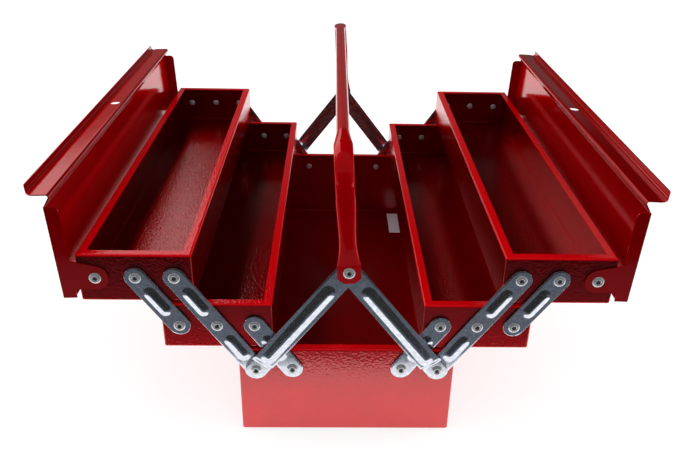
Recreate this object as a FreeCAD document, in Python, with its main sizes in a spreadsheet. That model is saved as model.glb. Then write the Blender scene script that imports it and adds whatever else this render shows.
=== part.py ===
"""Cantilever tool box with five trays.

A deep bottom tray carries two pairs of smaller trays on parallel levers.  Each side swings
outwards as one parallelogram linkage, each top tray has a hinged lid, and a tube handle
turns on the apex of two braces at each end.  The frame has its origin on the floor under the
middle of the bottom tray, X across the box, Y along it (the front end is at -Y) and Z up.
The box is drawn open: trays swung out, lids back, handle up.
"""
import FreeCAD, Part
import math
import os
import Sketcher
from FreeCAD import Vector

doc = FreeCAD.newDocument("cantilever_tool_box")

# ---------------------------------------------------------------- driving dimensions (mm, degrees)
SIZES = [
    ("box_length", 480.0, "outside length of every tray"),
    ("box_width", 200.0, "outside width of the bottom tray"),
    ("base_height", 95.5, "height of the bottom tray"),
    ("tray_clearance", 1.2, "shut upper trays clear of the middle of the box"),
    ("tray_height", 46.4, "height of an upper tray"),
    ("sheet_thickness", 1.0, "sheet of trays and lids"),
    ("bend_radius", 2.0, "outside radius of the bends of a tray"),
    ("rim_width", 8.0, "inward flange round the top of a tray"),
    ("base_pivot_drop", 20.9, "pivot row of the bottom tray below its rim"),
    ("base_pivot_inset", 16.1, "outer pivots of the bottom tray from its side walls"),
    ("pivot_spacing", 33.4, "between the two levers of a side"),
    ("pivot_height", 24.7, "pivot row of an upper tray above its underside"),
    ("inner_pivot_offset", 16.0, "inner pivot of a top tray from its inner wall"),
    ("lid_pivot_inset", 15.2, "lid pivot from the outer wall of its tray"),
    ("lid_pivot_drop", 0.6, "lid pivot below the pivot row"),
    ("middle_gap", 2.6, "middle tray above the rim of the bottom tray, box open"),
    ("top_gap", 3.1, "top tray above the rim of the middle tray, box open"),
    ("open_lean", 34.4, "lean of the levers from upright, box open"),
    ("link_width", 19.5, "width of a lever"),
    ("link_thickness", 1.5, "thickness of a lever"),
    ("side_clearance", 0.3, "between a moving plate and what it passes"),
    ("pivot_clearance", 0.08, "radial play of a hole on its rivet"),
    ("open_pivot_clearance", 0.2, "radial play of the pivots that close a loop"),
    ("rib_width", 11.4, "width of a lever's pressed rib at its foot"),
    ("rib_height", 1.5, "height of a lever's rib"),
    ("rib_taper", 45.0, "slope of the flanks of a lever's rib"),
    ("rib_wall", 1.6, "from the foot of a rib to the hollow behind it"),
    ("rib_margin", 14.0, "end of a rib from the pivot beside it"),
    ("brace_width", 20.4, "width of a handle brace"),
    ("brace_thickness", 1.5, "thickness of a handle brace"),
    ("bead_width", 13.4, "width of the round bead of a brace"),
    ("bead_height", 2.6, "height of that bead"),
    ("bead_margin", 22.5, "end of the bead from the handle pivot"),
    ("brace_clearance", 0.55, "inner brace clear of the rivet heads it passes"),
    ("brace_gap", 0.1, "between the two braces where they cross"),
    ("joggle_start", 9.0, "start of the offset bend above the lower pivot"),
    ("joggle_end", 13.0, "end of that bend"),
    ("brace_rise", 108.9, "handle pivot above the pivot row of the bottom tray"),
    ("rivet_diameter", 3.8, "shank of every rivet"),
    ("head_diameter", 10.6, "set ring head outside"),
    ("head_height", 1.7, "height of the ring head"),
    ("head_gap", 0.15, "under a head that something turns beneath"),
    ("dome_diameter", 8.6, "factory head inside"),
    ("dome_height", 1.5, "height of the factory head"),
    ("lid_rise", 8.3, "outer face of a shut lid above the rim of its tray"),
    ("lid_overlap", 4.4, "long flange outside the outer wall of the tray"),
    ("long_flange_depth", 10.2, "depth of the long flange"),
    ("end_flange_depth", 11.7, "depth of the end flanges"),
    ("ear_radius", 11.4, "round end of the hinge ears"),
    ("ear_root", 16.8, "inboard corner of an ear from the pivot"),
    ("flange_corner", 5.0, "rounded corner of an end flange"),
    ("lid_clearance", 0.5, "end flange of a lid clear of the end wall"),
    ("lid_bend_radius", 2.0, "mean radius of the bends of a lid"),
    ("step_start", 15.2, "start of the stepped edge short of the inner wall of the tray"),
    ("lip_setback", 5.0, "face of the standing lip short of that wall"),
    ("step_clearance", 0.9, "stepped edge above the rim of the tray"),
    ("lip_height", 23.6, "top of the standing lip above the stepped edge"),
    ("lip_return", 6.2, "folded edge of the lip, towards the middle"),
    ("lip_bend_radius", 3.0, "mean radius of that fold"),
    ("lip_inset", 2.5, "ends of the lip inside the ends of the lid"),
    ("lip_corner", 10.0, "rounded upper corners of the lip"),
    ("padlock_hole", 10.0, "padlock hole in the lip"),
    ("padlock_height", 11.0, "padlock hole above the stepped edge"),
    ("lid_angle", 92.0, "lid swung back from shut"),
    ("tube_diameter", 12.0, "tube of the handle"),
    ("handle_rise", 105.0, "axis of the grip above the handle pivot"),
    ("handle_bend", 30.0, "mean radius of the bends of the handle"),
    ("foot_width", 20.6, "flattened foot of the handle"),
    ("foot_thickness", 2.4, "thickness of the foot"),
    ("foot_above", 7.4, "top of the foot above its pivot"),
    ("foot_below", 10.5, "bottom of the foot below its pivot"),
    ("foot_shoulder", 5.9, "clipped corners of the foot below its pivot"),
    ("foot_base", 9.6, "width between the clipped corners"),
    ("waist_height", 34.0, "narrowest place of a leg above the pivot"),
    ("waist_width", 15.2, "width of a leg there"),
    ("waist_depth", 7.4, "depth of a leg there"),
    ("neck_height", 20.0, "leg is full depth here, above the pivot"),
    ("neck_width", 16.4, "width of a leg there"),
    ("neck_depth", 6.6, "depth of a leg there"),
    ("leg_width", 16.2, "flattened tube at the bends"),
    ("leg_depth", 7.2, "its depth"),
    ("runout", 22.0, "length over which the oval tube turns round"),
    ("shoulder_depth", 4.4, "depth of a leg where it overhangs its foot"),
    ("relief_margin", 6.3, "inner face of a leg is set back this far round the end of a brace"),
    ("relief_depth", 0.2, "by so much from the inner face of the foot"),
    ("foot_gap", 0.1, "foot of the handle clear of the outer brace"),
    ("handle_lean", 3.5, "lean of the handle"),
]
sheet = doc.addObject("Spreadsheet::Sheet", "size")
for row, (alias, number, note) in enumerate(SIZES, start=1):
    sheet.set(f"A{row}", note)
    sheet.set(f"B{row}", str(number))
    sheet.setAlias(f"B{row}", alias)
doc.recompute()

# ------------------------------------------------------------------ places that follow from them
PLACES = [
    ("end_face", "size.box_length / 2"),
    ("tray_width", "size.box_width / 2 - size.tray_clearance"),
    ("base_outer", "size.box_width / 2 - size.base_pivot_inset"),
    ("base_inner", "place.base_outer - size.pivot_spacing"),
    ("base_row", "size.base_height - size.base_pivot_drop"),
    ("middle_rise", "size.base_pivot_drop + size.middle_gap + size.pivot_height"),
    ("lower_pitch", "place.middle_rise / cos(size.open_lean)"),
    ("upper_pitch", "(size.tray_height + size.top_gap) / cos(size.open_lean)"),
    ("middle_pivot", "place.base_outer + place.lower_pitch * sin(size.open_lean)"),
    ("middle_row", "place.base_row + place.middle_rise"),
    ("top_pivot", "place.middle_pivot + place.upper_pitch * sin(size.open_lean)"),
    ("top_row", "place.middle_row + size.tray_height + size.top_gap"),
    ("top_middle", "place.top_pivot - size.inner_pivot_offset + place.tray_width / 2"),
    ("lid_pivot", "place.top_middle + place.tray_width / 2 - size.lid_pivot_inset"),
    ("lid_row", "place.top_row - size.lid_pivot_drop"),
    ("lid_reach", "place.tray_width - size.lid_pivot_inset"),
    ("lid_edge", "size.lid_pivot_inset + size.lid_overlap"),
    ("lid_step", "place.lid_reach - size.step_start"),
    ("lip_face", "place.lid_reach - size.lip_setback"),
    ("lid_rim", "size.tray_height - size.pivot_height + size.lid_pivot_drop"),
    ("lid_top", "place.lid_rim + size.lid_rise"),
    ("lip_root", "place.lid_rim + size.step_clearance"),
    ("lip_top", "place.lip_root + size.lip_height"),
    ("lid_length", "size.box_length + 2 * (size.lid_clearance + size.sheet_thickness)"),
    ("link_face", "size.side_clearance + size.link_thickness"),
    ("brace_foot", "place.link_face + size.side_clearance"),
    ("bead_radius", "(size.bead_width ^ 2 / 4 + size.bead_height ^ 2) / (2 * size.bead_height)"),
    ("head_face", "place.link_face + size.head_gap + size.head_height"),
    ("inner_standoff", "place.head_face + size.brace_clearance"),
    ("outer_standoff", "place.inner_standoff + size.brace_thickness + size.brace_gap"),
    ("brace_lean", "atan(place.base_outer / size.brace_rise)"),
    ("brace_span", "size.brace_rise / cos(place.brace_lean)"),
    ("handle_row", "place.base_row + size.brace_rise"),
    ("relief_radius", "size.brace_width / 2 + size.relief_margin"),
    ("foot_face", "place.outer_standoff + size.brace_thickness + size.foot_gap"),
    ("leg_face", "place.end_face + place.foot_face + size.foot_thickness / 2"),
    ("bend_end", "place.leg_face - size.handle_bend"),
    ("rivet_hole", "size.rivet_diameter / 2 + size.pivot_clearance"),
    ("open_hole", "size.rivet_diameter / 2 + size.open_pivot_clearance"),
]
places = doc.addObject("Spreadsheet::Sheet", "place")
for row, (alias, formula) in enumerate(PLACES, start=1):
    places.setAlias(f"A{row}", alias)
    places.set(f"A{row}", "=" + formula.replace("place.", ""))
doc.recompute()


# ------------------------------------------------------------------------------- drawing helpers
def value(expression):
    """Present value of an expression on the two sheets."""
    return float(sheet.evalExpression(expression))


def new_body(label):
    """An empty body named after its sub-part."""
    body = doc.addObject("PartDesign::Body", label)
    body.Label = label
    return body


def origin_feature(body, role):
    """One of the body's own origin planes or axes."""
    return next(feature for feature in body.Origin.OriginFeatures if feature.Role == role)


def new_sketch(body, role, offset="0", across="0", up="0"):
    """A sketch on an origin plane, moved along the plane's normal and within the plane."""
    sketch = body.newObject("Sketcher::SketchObject", "outline")
    sketch.AttachmentSupport = [(origin_feature(body, role), "")]
    sketch.MapMode = "FlatFace"
    sketch.setExpression("AttachmentOffset.Base.x", across)
    sketch.setExpression("AttachmentOffset.Base.y", up)
    sketch.setExpression("AttachmentOffset.Base.z", offset)
    return sketch


def bind(sketch, constraint, expression):
    """Add a dimension that follows an expression."""
    index = sketch.addConstraint(constraint)
    sketch.setExpression(f"Constraints[{index}]", expression)


def point_at(sketch, element, vertex, across, up):
    """Fix a vertex by its two distances from the sketch's origin."""
    bind(sketch, Sketcher.Constraint("DistanceX", -1, 1, element, vertex, value(across)), across)
    bind(sketch, Sketcher.Constraint("DistanceY", -1, 1, element, vertex, value(up)), up)


def corner_vector(corner):
    return Vector(value(corner[0]), value(corner[1]), 0)


def polygon(sketch, corners):
    """A closed outline with straight sides through the given corners."""
    points = [corner_vector(corner) for corner in corners]
    lines = []
    for index, point in enumerate(points):
        following = points[(index + 1) % len(points)]
        lines.append(sketch.addGeometry(Part.LineSegment(point, following)))
    for index, line in enumerate(lines):
        following = lines[(index + 1) % len(lines)]
        sketch.addConstraint(Sketcher.Constraint("Coincident", line, 2, following, 1))
        point_at(sketch, line, 1, *corners[index])


def rectangle(sketch, left, right, low, high):
    polygon(sketch, [(left, low), (right, low), (right, high), (left, high)])


def circle(sketch, across, up, radius):
    centre = Vector(value(across), value(up), 0)
    ring = sketch.addGeometry(Part.Circle(centre, Vector(0, 0, 1), value(radius)))
    point_at(sketch, ring, 3, across, up)
    bind(sketch, Sketcher.Constraint("Radius", ring, value(radius)), radius)


def ellipse(sketch, up, width, depth):
    """An ellipse on the sketch's vertical axis, with its width along the horizontal."""
    centre = Vector(0, value(up), 0)
    half_width = value(width) / 2
    half_depth = value(depth) / 2
    end = centre + Vector(half_width, 0, 0)
    side = centre + Vector(0, half_depth, 0)
    ring = sketch.addGeometry(Part.Ellipse(end, side, centre))
    sketch.exposeInternalGeometry(ring)
    point_at(sketch, ring, 3, "0", up)
    sketch.addConstraint(Sketcher.Constraint("Horizontal", ring + 1))
    bind(sketch, Sketcher.Constraint("Distance", ring + 1, half_width * 2), width)
    bind(sketch, Sketcher.Constraint("Distance", ring + 2, half_depth * 2), depth)


def slot(sketch, low, high, radius):
    """A slot along the sketch's vertical axis, its round ends centred on low and high."""
    bottom = value(low)
    top = value(high)
    size = value(radius)
    lower_circle = Part.Circle(Vector(0, bottom, 0), Vector(0, 0, 1), size)
    upper_circle = Part.Circle(Vector(0, top, 0), Vector(0, 0, 1), size)
    lower = sketch.addGeometry(Part.ArcOfCircle(lower_circle, math.pi, 2 * math.pi))
    upper = sketch.addGeometry(Part.ArcOfCircle(upper_circle, 0, math.pi))
    right = sketch.addGeometry(Part.LineSegment(Vector(size, bottom, 0), Vector(size, top, 0)))
    left = sketch.addGeometry(Part.LineSegment(Vector(-size, top, 0), Vector(-size, bottom, 0)))
    sketch.addConstraint(Sketcher.Constraint("Tangent", lower, 2, right, 1))
    sketch.addConstraint(Sketcher.Constraint("Tangent", right, 2, upper, 1))
    sketch.addConstraint(Sketcher.Constraint("Tangent", upper, 2, left, 1))
    sketch.addConstraint(Sketcher.Constraint("Tangent", left, 2, lower, 1))
    point_at(sketch, lower, 3, "0", low)
    point_at(sketch, upper, 3, "0", high)
    bind(sketch, Sketcher.Constraint("Radius", lower, size), radius)


def bent_path(sketch, corners, radii):
    """An open path: straight runs through the corners, with an arc at each inner corner."""
    points = [corner_vector(corner) for corner in corners]
    starts = [points[0]]
    arcs = []
    ends = []
    for index, radius in enumerate(radii, start=1):
        before = (points[index - 1] - points[index]).normalize()
        after = (points[index + 1] - points[index]).normalize()
        half = before.getAngle(after) / 2
        reach = value(radius) / math.tan(half)
        middle = points[index] + (before + after).normalize() * (value(radius) / math.sin(half))
        turn = before.x * after.y - before.y * after.x
        ends.append(points[index] + before * reach)
        starts.append(points[index] + after * reach)
        angles = [math.atan2(tip.y - middle.y, tip.x - middle.x) for tip in (ends[-1], starts[-1])]
        ring = Part.Circle(middle, Vector(0, 0, 1), value(radius))
        if turn < 0:
            arcs.append((Part.ArcOfCircle(ring, angles[0], angles[1]), 1, 2))
        else:
            arcs.append((Part.ArcOfCircle(ring, angles[1], angles[0]), 2, 1))
    ends.append(points[-1])
    lines = [sketch.addGeometry(Part.LineSegment(a, b)) for a, b in zip(starts, ends)]
    point_at(sketch, lines[0], 1, *corners[0])
    point_at(sketch, lines[-1], 2, *corners[-1])
    for index, (arc, near, far) in enumerate(arcs):
        bend = sketch.addGeometry(arc)
        sketch.addConstraint(Sketcher.Constraint("Tangent", lines[index], 2, bend, near))
        sketch.addConstraint(Sketcher.Constraint("Tangent", bend, far, lines[index + 1], 1))
        bind(sketch, Sketcher.Constraint("Radius", bend, value(radii[index])), radii[index])
        mark = sketch.addGeometry(Part.Point(points[index + 1]), True)
        point_at(sketch, mark, 1, *corners[index + 1])
        sketch.addConstraint(Sketcher.Constraint("PointOnObject", mark, 1, lines[index]))
        sketch.addConstraint(Sketcher.Constraint("PointOnObject", mark, 1, lines[index + 1]))


# ------------------------------------------------------------------------------- feature helpers
def pad(body, sketch, length, taper=None, centred=False, reverse=False):
    feature = body.newObject("PartDesign::Pad", "pad")
    feature.Profile = sketch
    feature.setExpression("Length", length)
    if centred:
        feature.SideType = "Symmetric"
    feature.Reversed = reverse
    if taper:
        feature.setExpression("TaperAngle", taper)
    doc.recompute()
    return feature


def cut(body, sketch, length=None, taper=None, both_ways=False, reverse=False):
    """A pocket that must take material away."""
    volume = body.Tip.Shape.Volume
    feature = body.newObject("PartDesign::Pocket", "cut")
    feature.Profile = sketch
    feature.Reversed = reverse
    if length is None:
        feature.Type = "ThroughAll"
    else:
        feature.setExpression("Length", length)
    if both_ways:
        feature.SideType = "Symmetric"
    if taper:
        feature.setExpression("TaperAngle", taper)
    doc.recompute()
    if feature.Shape.Volume >= volume:
        raise RuntimeError(f"{body.Label}: {feature.Name} takes nothing away")
    return feature


def edges_where(feature, chosen):
    """Names of the feature's edges that the test chooses."""
    return [f"Edge{number}" for number, edge in enumerate(feature.Shape.Edges, 1) if chosen(edge)]


def fillet(body, chosen, radius):
    base = body.Tip
    feature = body.newObject("PartDesign::Fillet", "bend")
    feature.Base = (base, edges_where(base, chosen))
    feature.setExpression("Radius", radius)
    doc.recompute()
    return feature


def mirror(body, features, role):
    feature = body.newObject("PartDesign::Mirrored", "mirrored")
    feature.Originals = features
    feature.MirrorPlane = (origin_feature(body, role), [""])
    body.Tip = feature
    doc.recompute()
    return feature


def put(body, across, along, up, yaw="0", pitch="0"):
    """Place a sub-part: its origin, then its turn about Z and about its own Y."""
    vector = f"vector({across}; {along}; {up})"
    body.setExpression("Placement", f"placement({vector}; rotation({yaw}; {pitch}; 0))")


def is_within(edge, half_width, half_length, low, high):
    """Whether an edge lies in the middle box of the given size, touching its sides or not."""
    box = edge.BoundBox
    across = max(-box.XMin, box.XMax) < half_width + 0.01
    along = max(-box.YMin, box.YMax) < half_length + 0.01
    return across and along and low - 0.01 < box.ZMin and box.ZMax < high + 0.01


# ------------------------------------------------------------------------------------- the trays
def tray(label, width, height, pivots):
    """A folded tray: rounded pan, inward rim and pivot holes through both end walls."""
    body = new_body(label)
    half_width = f"({width}) / 2"
    outline = new_sketch(body, "XY_Plane")
    rectangle(outline, f"-{half_width}", half_width, "-place.end_face", "place.end_face")
    pad(body, outline, height)
    fillet(body, lambda edge: True, "size.bend_radius")

    inside = new_sketch(body, "XY_Plane", "size.sheet_thickness")
    side = f"({half_width} - size.sheet_thickness)"
    end = "(place.end_face - size.sheet_thickness)"
    rectangle(inside, f"-{side}", side, f"-{end}", end)
    cut(body, inside, f"{height} - 2 * size.sheet_thickness", reverse=True)
    floor = value("size.sheet_thickness")
    cavity = (value(side), value(end), floor, floor)
    fillet(body, lambda edge: is_within(edge, *cavity), "size.bend_radius - size.sheet_thickness")

    mouth = new_sketch(body, "XY_Plane", height)
    side = f"({half_width} - size.rim_width)"
    end = "(place.end_face - size.rim_width)"
    rectangle(mouth, f"-{side}", side, f"-{end}", end)
    cut(body, mouth, "2 * size.sheet_thickness")

    holes = new_sketch(body, "XZ_Plane")
    for across, up in pivots:
        circle(holes, across, up, "place.rivet_hole")
    cut(body, holes, both_ways=True)
    return body


def bottom_tray():
    row = "place.base_row"
    offsets = ("place.base_outer", "place.base_inner")
    pivots = [(sign + offset, row) for offset in offsets for sign in ("-", "")]
    tray("bottom_tray", "size.box_width", "size.base_height", pivots)


def middle_tray(side, sign):
    row = "size.pivot_height"
    pivots = [("-size.pivot_spacing", row), ("0", row), ("size.pivot_spacing", row)]
    body = tray(f"{side}_middle_tray", "place.tray_width", "size.tray_height", pivots)
    put(body, f"{sign}place.middle_pivot", "0", "place.middle_row - size.pivot_height")


# A top tray and its lid are drawn for the left side; the right side is the same part turned
# half way round.
INNER_PIVOT = "(place.tray_width / 2 - size.inner_pivot_offset)"
OUTER_PIVOT = f"({INNER_PIVOT} - size.pivot_spacing)"
LID_PIVOT = "(size.lid_pivot_inset - place.tray_width / 2)"


def top_tray(side, sign, yaw):
    row = "size.pivot_height"
    pivots = [(INNER_PIVOT, row), (OUTER_PIVOT, row)]
    pivots.append((LID_PIVOT, f"({row} - size.lid_pivot_drop)"))
    body = tray(f"{side}_top_tray", "place.tray_width", "size.tray_height", pivots)
    put(body, f"{sign}place.top_middle", "0", "place.top_row - size.pivot_height", yaw)


# -------------------------------------------------------------------------------------- the lids
def ear_outline(sketch):
    """End flange of a lid, with the ear that hangs on the pivot at the sketch's origin."""
    size = value("size.ear_radius")
    low = value("place.lid_top - size.end_flange_depth")
    high = value("place.lid_top")
    root = Vector(value("size.ear_root"), low, 0)
    # the slanting side runs from the root of the ear to its tangent point on the round end
    swing = math.atan2(root.y, root.x) - math.acos(size / root.Length)
    touch = Vector(size * math.cos(swing), size * math.sin(swing), 0)
    corner = value("size.flange_corner")
    start = value("place.lid_step")
    outboard = -value("place.lid_edge")
    points = [
        Vector(outboard, high, 0),
        Vector(outboard, low, 0),
        Vector(-size, low, 0),
        Vector(-size, 0, 0),
        touch,
        root,
        Vector(start - corner, low, 0),
        Vector(start, low + corner, 0),
        Vector(start, high, 0),
    ]
    ear_circle = Part.Circle(Vector(0, 0, 0), Vector(0, 0, 1), size)
    corner_circle = Part.Circle(Vector(start - corner, low + corner, 0), Vector(0, 0, 1), corner)
    shapes = [Part.LineSegment(points[i], points[i + 1]) for i in range(3)]
    shapes.append(Part.ArcOfCircle(ear_circle, math.pi, 2 * math.pi + swing))
    shapes.append(Part.LineSegment(points[4], points[5]))
    shapes.append(Part.LineSegment(points[5], points[6]))
    shapes.append(Part.ArcOfCircle(corner_circle, 1.5 * math.pi, 2 * math.pi))
    shapes.append(Part.LineSegment(points[7], points[8]))
    shapes.append(Part.LineSegment(points[8], points[0]))
    outer, notch, edge, ear, slant, lower, rounded, inner, top = (
        sketch.addGeometry(shape) for shape in shapes
    )
    link = sketch.addConstraint
    for before, after in ((top, outer), (outer, notch), (notch, edge), (slant, lower), (inner, top)):
        link(Sketcher.Constraint("Coincident", before, 2, after, 1))
    link(Sketcher.Constraint("Tangent", edge, 2, ear, 1))
    link(Sketcher.Constraint("Tangent", ear, 2, slant, 1))
    link(Sketcher.Constraint("Tangent", lower, 2, rounded, 1))
    link(Sketcher.Constraint("Tangent", rounded, 2, inner, 1))
    link(Sketcher.Constraint("Coincident", ear, 3, -1, 1))
    for line in (notch, lower, top):
        link(Sketcher.Constraint("Horizontal", line))
    for line in (outer, edge, inner):
        link(Sketcher.Constraint("Vertical", line))
    bind(sketch, Sketcher.Constraint("Radius", ear, size), "size.ear_radius")
    bind(sketch, Sketcher.Constraint("Radius", rounded, corner), "size.flange_corner")
    point_at(sketch, outer, 1, "-place.lid_edge", "place.lid_top")
    point_at(sketch, lower, 1, "size.ear_root", "place.lid_top - size.end_flange_depth")
    drop = Sketcher.Constraint("DistanceY", -1, 1, notch, 1, low)
    bind(sketch, drop, "place.lid_top - size.end_flange_depth")
    bind(sketch, Sketcher.Constraint("DistanceX", -1, 1, inner, 1, start), "place.lid_step")


def lid(side, sign, yaw):
    """A lid drawn shut: panel, long flange, stepped edge with a standing lip, hinged ends."""
    body = new_body(f"{side}_lid")
    half = "size.sheet_thickness / 2"
    outboard = f"-(place.lid_edge - {half})"
    level = f"(place.lid_top - {half})"
    lip = f"(place.lip_face - {half})"
    bends = [
        (outboard, "place.lid_top - size.long_flange_depth"),
        (outboard, level),
        ("place.lid_step", level),
        (lip, f"place.lip_root + {half}"),
        (lip, f"place.lip_top - {half}"),
        ("place.lip_face + size.lip_return", f"place.lip_top - {half}"),
    ]
    fold = new_sketch(body, "XZ_Plane")
    bent_path(fold, bends, ["size.lid_bend_radius"] * 3 + ["size.lip_bend_radius"])
    strip = new_sketch(body, "XY_Plane", bends[0][1])
    left = "-place.lid_edge"
    right = "-place.lid_edge + size.sheet_thickness"
    rectangle(strip, left, right, "-place.lid_length / 2", "place.lid_length / 2")
    sheet_metal = body.newObject("PartDesign::AdditivePipe", "sheet_metal")
    sheet_metal.Profile = strip
    sheet_metal.Spine = fold
    doc.recompute()

    # the step and the lip end inside the end flanges
    relief = new_sketch(body, "XY_Plane")
    beyond = "(place.lip_face + size.lip_return + size.lip_bend_radius)"
    for low, high in (("", "-"), ("-", "")):
        edge = f"{low}(place.lid_length / 2 - size.lip_inset)"
        end = f"{low}(place.lid_length / 2 + size.lip_inset)"
        rectangle(relief, "place.lid_step", beyond, edge, end)
    cut(body, relief, both_ways=True)

    corner = new_sketch(body, "YZ_Plane")
    centre = "(place.lid_length / 2 - size.lip_inset - size.lip_corner)"
    lip_corners(corner, centre, "(place.lip_top - size.lip_corner)", "size.lip_corner")
    rounding = cut(body, corner, reverse=True)
    mirror(body, [rounding], "XZ_Plane")

    flange = new_sketch(body, "XZ_Plane", "place.lid_length / 2 - size.sheet_thickness")
    ear_outline(flange)
    near_end = pad(body, flange, "size.sheet_thickness")
    mirror(body, [near_end], "XZ_Plane")

    pivot = new_sketch(body, "XZ_Plane")
    circle(pivot, "0", "0", "place.rivet_hole")
    cut(body, pivot, both_ways=True)

    # the cut starts in front of the panel's edge and goes out through the lip alone
    padlock = new_sketch(body, "YZ_Plane", "place.lip_face - 2 * size.sheet_thickness")
    circle(padlock, "0", "place.lip_root + size.padlock_height", "size.padlock_hole / 2")
    cut(body, padlock, reverse=True)
    place_x = f"{sign}place.lid_pivot"
    put(body, place_x, "0", "place.lid_row", yaw, "-size.lid_angle")


def lip_corners(sketch, across, up, radius):
    """The waste outside a rounded corner: a square with a quarter circle taken from it."""
    size = value(radius)
    centre = Vector(value(across), value(up), 0)
    tall = 2 * size
    ring = Part.Circle(centre, Vector(0, 0, 1), size)
    right = centre + Vector(size, 0, 0)
    top = centre + Vector(0, size, 0)
    points = [right, right + Vector(size, 0, 0), centre + Vector(tall, tall, 0), top + Vector(0, size, 0)]
    arc = sketch.addGeometry(Part.ArcOfCircle(ring, 0, math.pi / 2))
    base = sketch.addGeometry(Part.LineSegment(points[0], points[1]))
    outer = sketch.addGeometry(Part.LineSegment(points[1], points[2]))
    roof = sketch.addGeometry(Part.LineSegment(points[2], points[3]))
    inner = sketch.addGeometry(Part.LineSegment(points[3], top))
    link = sketch.addConstraint
    link(Sketcher.Constraint("Coincident", arc, 1, base, 1))
    link(Sketcher.Constraint("Coincident", base, 2, outer, 1))
    link(Sketcher.Constraint("Coincident", outer, 2, roof, 1))
    link(Sketcher.Constraint("Coincident", roof, 2, inner, 1))
    link(Sketcher.Constraint("Coincident", inner, 2, arc, 2))
    link(Sketcher.Constraint("Horizontal", base))
    link(Sketcher.Constraint("Vertical", outer))
    link(Sketcher.Constraint("Horizontal", roof))
    link(Sketcher.Constraint("Vertical", inner))
    point_at(sketch, arc, 3, across, up)
    bind(sketch, Sketcher.Constraint("Radius", arc, size), radius)
    link(Sketcher.Constraint("Horizontal", arc, 3, arc, 1))
    link(Sketcher.Constraint("Vertical", arc, 3, arc, 2))
    point_at(sketch, outer, 2, f"{across} + 2 * {radius}", f"{up} + 2 * {radius}")


# ------------------------------------------------------------------------------------ the levers
def rib(body, low, high, face, back):
    """A rib pressed outwards, hollow behind, between two points of the plate's axis."""
    crest = "size.rib_width / 2"
    raised = new_sketch(body, "XZ_Plane", face)
    slot(raised, f"{low} + {crest}", f"{high} - {crest}", crest)
    pad(body, raised, "size.rib_height", "-size.rib_taper")
    hollow = new_sketch(body, "XZ_Plane", back)
    slot(hollow, f"{low} + {crest}", f"{high} - {crest}", f"{crest} - size.rib_wall")
    cut(body, hollow, "size.rib_height", reverse=True)


def bead(body, low, high, face, back):
    """A round bead pressed outwards, with a dome at each end and a recess behind."""
    half = "size.bead_width / 2"
    centre = f"-({face} + size.bead_height) + place.bead_radius"
    for at, length in ((low, f"({high}) - ({low})"), (low, None), (high, None)):
        outline = new_sketch(body, "XY_Plane", at)
        bead_outline(outline, half, f"-({face})", centre, whole=length is not None)
        if length:
            pad(body, outline, length)
        else:
            dome = body.newObject("PartDesign::Revolution", "dome")
            dome.Profile = outline
            dome.ReferenceAxis = (outline, ["V_Axis"])
            dome.Angle = 180
            dome.Reversed = at == high
            doc.recompute()
    recess = new_sketch(body, "XZ_Plane", back)
    slot(recess, low, high, f"{half} - size.rib_wall")
    cut(body, recess, "size.brace_thickness", reverse=True)


def bead_outline(sketch, half, foot, centre, whole):
    """Cross-section of a bead, or the half of it beside the axis."""
    middle = value(centre)
    edge = Vector(value(half), value(foot), 0)
    size = value("place.bead_radius")
    ring = Part.Circle(Vector(0, middle, 0), Vector(0, 0, 1), size)
    lean = math.atan2(edge.y - middle, edge.x)
    start = -math.pi - lean if whole else -math.pi / 2
    arc = sketch.addGeometry(Part.ArcOfCircle(ring, start, lean))
    corner = Vector(-edge.x if whole else 0, edge.y, 0)
    base = sketch.addGeometry(Part.LineSegment(edge, corner))
    link = sketch.addConstraint
    link(Sketcher.Constraint("Coincident", arc, 2, base, 1))
    point_at(sketch, arc, 3, "0", centre)
    point_at(sketch, base, 1, half, foot)
    if whole:
        link(Sketcher.Constraint("Coincident", base, 2, arc, 1))
        link(Sketcher.Constraint("Horizontal", base))
        return
    top = Vector(0, middle - size, 0)
    rise = sketch.addGeometry(Part.LineSegment(corner, top))
    link(Sketcher.Constraint("Coincident", base, 2, rise, 1))
    link(Sketcher.Constraint("Coincident", rise, 2, arc, 1))
    link(Sketcher.Constraint("Vertical", rise))
    link(Sketcher.Constraint("Horizontal", base))
    link(Sketcher.Constraint("PointOnObject", rise, 1, -2))


def link(label, pitches, holes):
    """A lever: round-ended plate upwards from its lower pivot, a rib in each bay."""
    body = new_body(label)
    plate = new_sketch(body, "XZ_Plane", "size.side_clearance")
    slot(plate, "0", " + ".join(pitches), "size.link_width / 2")
    pad(body, plate, "size.link_thickness")
    low = "0"
    pivots = ["0"]
    for pitch in pitches:
        high = f"{low} + {pitch}"
        rib(body, f"{low} + size.rib_margin", f"{high} - size.rib_margin", "place.link_face",
            "size.side_clearance")
        pivots.append(high)
        low = high
    bores = new_sketch(body, "XZ_Plane")
    for pivot, radius in zip(pivots, holes):
        circle(bores, "0", pivot, radius)
    cut(body, bores, both_ways=True)
    return body


def levers(side, sign):
    """The three levers of one side, at both ends of the box."""
    fixed = "place.rivet_hole"
    loose = "place.open_hole"
    for end in ("front", "rear"):
        front = end == "front"
        along = "-place.end_face" if front else "place.end_face"
        yaw = "0" if front else "180"
        outwards = "-" if (sign == "-") == front else ""
        pitch = f"{outwards}size.open_lean"
        long_link = link(f"{side}_{end}_long_link", ["place.lower_pitch", "place.upper_pitch"],
                         [fixed, fixed, fixed])
        put(long_link, f"{sign}place.base_outer", along, "place.base_row", yaw, pitch)
        lower = link(f"{side}_{end}_lower_link", ["place.lower_pitch"], [fixed, loose])
        put(lower, f"{sign}place.base_inner", along, "place.base_row", yaw, pitch)
        upper = link(f"{side}_{end}_upper_link", ["place.upper_pitch"], [fixed, loose])
        shoulder = f"{sign}(place.middle_pivot + size.pivot_spacing)"
        put(upper, shoulder, along, "place.middle_row", yaw, pitch)


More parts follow.
